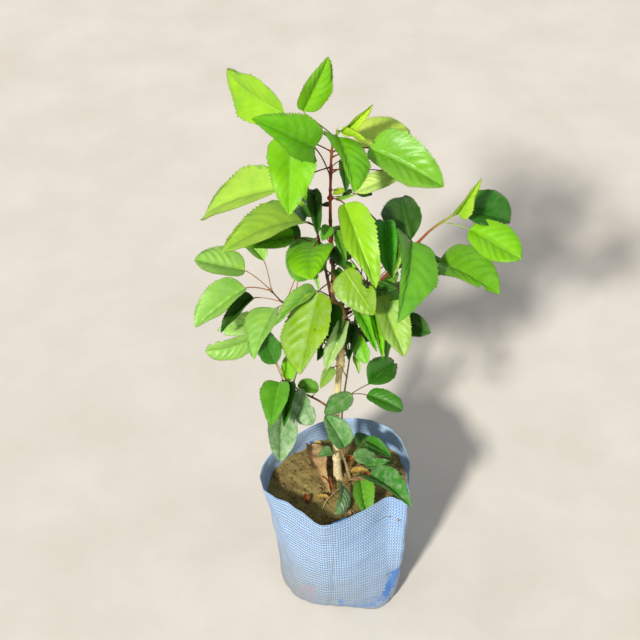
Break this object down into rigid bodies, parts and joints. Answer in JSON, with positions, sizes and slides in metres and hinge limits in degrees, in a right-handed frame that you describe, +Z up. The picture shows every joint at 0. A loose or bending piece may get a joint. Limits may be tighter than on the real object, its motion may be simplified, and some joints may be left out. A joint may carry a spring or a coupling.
{
  "type": "hibiscus shrub",
  "caption": "Young hibiscus shrub with toothed oval leaves on upright stems, growing in an open woven plastic grow bag filled with soil.",
  "frame": {"origin": "middle of the bag's flat underside, on the ground", "axes": "+Z up along the trunk, +Y towards the back, away from the folded front corner of the bag; +X to the right, the side of the long low shoot"},
  "size_m": [0.3891, 0.2822, 0.8488],
  "materials": {
    "woven_bag": "satin",
    "potting_mix": "matte",
    "old_bark": "matte",
    "young_bark": "satin",
    "leaves_sunlit": "satin",
    "leaves_shaded": "satin"
  },
  "bodies": {
    "root": {"grow_bag": "woven_bag", "soil": "potting_mix", "trunk": "old_bark", "leader": "young_bark", "left_shoot": "young_bark", "right_shoot": "young_bark", "side_stem": "old_bark", "low_left_bough": "young_bark", "left_bough": "young_bark", "low_right_bough": "young_bark", "basal_shoot": "old_bark", "top_left_leaves": "leaves_sunlit", "top_leaf": "leaves_sunlit", "upper_left_leaves": "leaves_sunlit", "far_left_upper_leaf": "leaves_sunlit", "left_upper_leaves": "leaves_sunlit", "left_outer_leaves": "leaves_sunlit", "left_mid_leaves": "leaves_sunlit", "left_edge_leaf": "leaves_sunlit", "inner_left_leaves": "leaves_sunlit", "centre_left_leaves": "leaves_sunlit", "crown_centre_leaves": "leaves_sunlit", "top_right_leaves": "leaves_sunlit", "centre_leaves": "leaves_sunlit", "right_upper_leaf": "leaves_sunlit", "right_inner_leaves": "leaves_sunlit", "right_tip_leaves": "leaves_sunlit", "right_spray_leaf": "leaves_sunlit", "right_outer_leaf": "leaves_sunlit", "right_low_leaves": "leaves_sunlit", "low_front_leaves": "leaves_shaded", "low_left_leaves": "leaves_shaded", "low_right_leaves": "leaves_shaded", "low_centre_leaves": "leaves_shaded", "basal_right_leaves": "leaves_shaded", "basal_centre_leaves": "leaves_shaded", "basal_front_leaves": "leaves_shaded", "back_top_leaves": "leaves_shaded", "back_upper_leaves": "leaves_shaded", "back_right_leaves": "leaves_shaded", "back_left_leaves": "leaves_shaded", "back_low_leaves": "leaves_shaded", "back_low_right_leaves": "leaves_shaded"}
  },
  "joints": []
}
